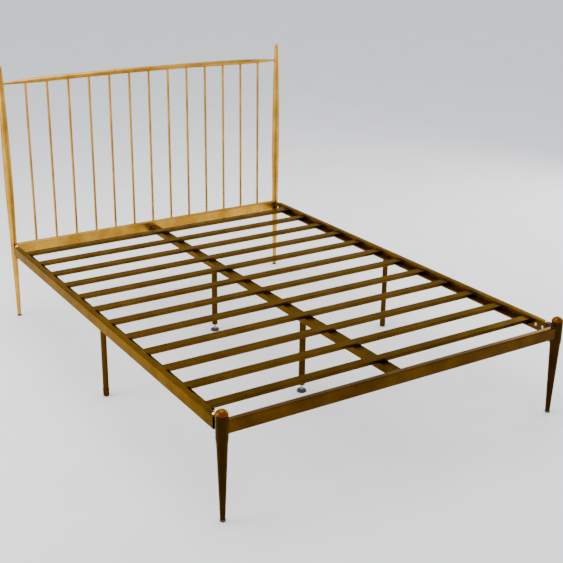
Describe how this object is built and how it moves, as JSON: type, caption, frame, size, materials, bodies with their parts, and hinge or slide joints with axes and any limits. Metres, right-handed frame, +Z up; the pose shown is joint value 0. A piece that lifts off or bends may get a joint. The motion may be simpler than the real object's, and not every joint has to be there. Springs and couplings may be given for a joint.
{
  "type": "metal bed frame",
  "caption": "Low metal bed frame with a spindle headboard between tall tapered posts, tapered front legs with domed tops, slats and a centre beam on screw feet.",
  "frame": {"origin": "middle of the whole frame's footprint, at floor level", "axes": "+Z up, +Y towards the headboard, +X across the bed to the right of someone who stands at the foot end and looks at the headboard"},
  "size_m": [1.565, 2.1319, 1.25],
  "materials": {
    "frame_gold": "satin antique-gold powder coat on steel tube",
    "deck_gold": "satin antique-gold powder coat, less worn",
    "dark_steel": "black phosphate and oil, dark brown-black",
    "glide_plastic": "dark brown moulded polyethylene",
    "black_plastic": "black moulded polypropylene",
    "zinc_steel": "bright zinc plated"
  },
  "bodies": {
    "root": {"beam_cradle_foot": "dark_steel", "beam_cradle_head": "dark_steel", "bracket_bolts": "zinc_steel", "bracket_foot_left": "dark_steel", "bracket_foot_right": "dark_steel", "bracket_head_left": "dark_steel", "bracket_head_right": "dark_steel", "centre_beam": "deck_gold", "centre_leg_foot": "deck_gold", "centre_leg_head": "deck_gold", "foot_post_cap_left": "frame_gold", "foot_post_cap_right": "frame_gold", "foot_post_left": "frame_gold", "foot_post_right": "frame_gold", "foot_rail": "frame_gold", "head_crest_rail": "frame_gold", "head_lower_rail": "frame_gold", "head_post_left": "frame_gold", "head_post_right": "frame_gold", "head_spindle_01": "frame_gold", "head_spindle_02": "frame_gold", "head_spindle_03": "frame_gold", "head_spindle_04": "frame_gold", "head_spindle_05": "frame_gold", "head_spindle_06": "frame_gold", "head_spindle_07": "frame_gold", "head_spindle_08": "frame_gold", "head_spindle_09": "frame_gold", "head_spindle_10": "frame_gold", "head_spindle_11": "frame_gold", "head_spindle_12": "frame_gold", "head_spindle_13": "frame_gold", "leveller_nuts": "zinc_steel", "mid_leg_foot_left": "frame_gold", "mid_leg_foot_right": "frame_gold", "mid_leg_left": "frame_gold", "mid_leg_right": "frame_gold", "post_glides": "glide_plastic", "rail_plugs": "frame_gold", "side_rail_left": "frame_gold", "side_rail_right": "frame_gold", "slat_01": "deck_gold", "slat_02": "deck_gold", "slat_03": "deck_gold", "slat_04": "deck_gold", "slat_05": "deck_gold", "slat_06": "deck_gold", "slat_07": "deck_gold", "slat_08": "deck_gold", "slat_09": "deck_gold", "slat_10": "deck_gold", "slat_11": "deck_gold", "slat_12": "deck_gold", "slat_end_caps": "black_plastic", "slat_ledge_left": "deck_gold", "slat_ledge_right": "deck_gold"},
    "pad_foot": {"leveller_pad_foot": "black_plastic"},
    "stud_foot": {"leveller_stud_foot": "zinc_steel"},
    "pad_head": {"leveller_pad_head": "black_plastic"},
    "stud_head": {"leveller_stud_head": "zinc_steel"}
  },
  "joints": [
    {"name": "pad_foot_lift", "type": "slide", "parent": "root", "child": "pad_foot", "axis": [0, 0, 1], "range_m": [-0.01, 0.01]},
    {"name": "stud_foot_turn", "type": "hinge", "parent": "pad_foot", "child": "stud_foot", "pos_m": [0, -0.3785, 0.03], "axis": [0, 0, 1], "range_deg": [-2881, 2881]},
    {"name": "pad_head_lift", "type": "slide", "parent": "root", "child": "pad_head", "axis": [0, 0, 1], "range_m": [-0.01, 0.01]},
    {"name": "stud_head_turn", "type": "hinge", "parent": "pad_head", "child": "stud_head", "pos_m": [0, 0.3815, 0.03], "axis": [0, 0, 1], "range_deg": [-2881, 2881]}
  ],
  "couplings": [
    {"joint": "stud_foot_turn", "follows": "pad_foot_lift", "rad_per_m": 5026.5},
    {"joint": "stud_head_turn", "follows": "pad_head_lift", "rad_per_m": 5026.5}
  ]
}
